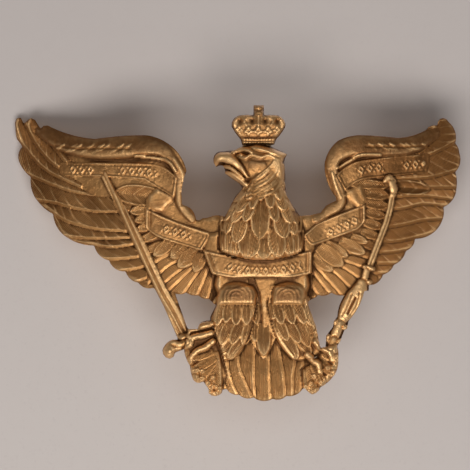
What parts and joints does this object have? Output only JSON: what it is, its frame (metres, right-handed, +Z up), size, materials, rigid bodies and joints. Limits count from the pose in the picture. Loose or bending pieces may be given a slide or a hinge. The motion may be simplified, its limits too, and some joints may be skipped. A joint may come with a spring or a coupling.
{
  "type": "cap badge",
  "caption": "Stamped brass eagle badge with spread wings and a crown, bent to a helmet front and held by two threaded posts with washers and square nuts.",
  "frame": {"origin": "midway between the two posts, where they enter the helmet's shell", "axes": "+X to the viewer's right along the wings, +Z up to the crown, the face looks along -Y and the posts point along +Y"},
  "size_m": [0.156, 0.0402, 0.1025],
  "materials": {
    "stamped_brass": "aged satin, brown in the recesses",
    "turned_brass": "dull",
    "solder": "matt grey",
    "leather": "worn"
  },
  "bodies": {
    "badge": {"eagle_plate": "stamped_brass", "left_post": "turned_brass", "right_post": "turned_brass", "left_solder": "solder", "right_solder": "solder"},
    "left_washers": {"left_leather_washer": "leather", "left_brass_washer": "turned_brass"},
    "right_washers": {"right_leather_washer": "leather", "right_brass_washer": "turned_brass"},
    "left_nut": {"left_nut": "turned_brass"},
    "right_nut": {"right_nut": "turned_brass"}
  },
  "joints": [
    {"name": "left_washers_slide", "type": "slide", "parent": "badge", "child": "left_washers", "axis": [0, 1, 0], "range_m": [0, 0.0065]},
    {"name": "left_nut_turn", "type": "hinge", "parent": "left_washers", "child": "left_nut", "pos_m": [-0.028, 0.006, 0], "axis": [0, 1, 0], "range_deg": [0, 4690]},
    {"name": "right_washers_slide", "type": "slide", "parent": "badge", "child": "right_washers", "axis": [0, 1, 0], "range_m": [0, 0.0065]},
    {"name": "right_nut_turn", "type": "hinge", "parent": "right_washers", "child": "right_nut", "pos_m": [0.028, 0.006, 0], "axis": [0, 1, 0], "range_deg": [0, 4690]}
  ],
  "couplings": [
    {"joint": "left_nut_turn", "follows": "left_washers_slide", "rad_per_m": 12566},
    {"joint": "right_nut_turn", "follows": "right_washers_slide", "rad_per_m": 12566}
  ]
}
